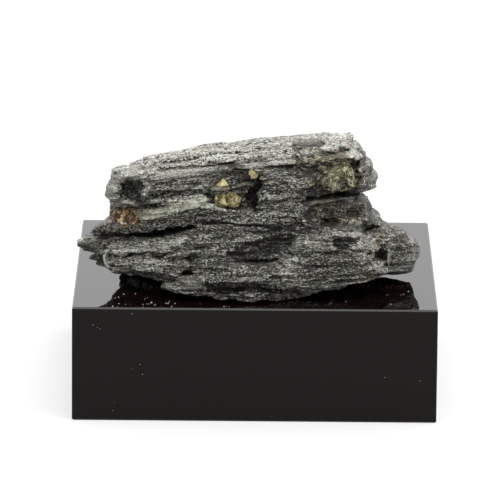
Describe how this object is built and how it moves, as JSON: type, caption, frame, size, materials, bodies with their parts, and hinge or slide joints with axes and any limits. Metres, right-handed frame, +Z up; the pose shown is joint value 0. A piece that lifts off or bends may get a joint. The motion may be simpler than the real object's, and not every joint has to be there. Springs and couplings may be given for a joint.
{
  "type": "pyrite specimen",
  "caption": "Grey foliated schist lump with brassy pyrite in a broken pit, resting on a square black acrylic display block.",
  "frame": {"origin": "centre of the display block's square foot, on the surface it stands on", "axes": "+Z up, -Y towards the specimen's display face, +X to the viewer's right along the foliation"},
  "size_m": [0.08, 0.08, 0.0589],
  "materials": {
    "schist": "rough foliated grey schist",
    "pyrite": "brassy metallic mineral",
    "rusted_pyrite": "brown tarnished sulphide",
    "acrylic": "polished black"
  },
  "bodies": {
    "root": {"matrix_rock": "schist", "pyrite_cube_upper": "pyrite", "pyrite_mass_lower": "pyrite", "pyrite_grain_right": "pyrite", "pyrite_mass_left": "rusted_pyrite", "pyrite_vein_right": "rusted_pyrite", "stand_block": "acrylic"}
  },
  "joints": []
}
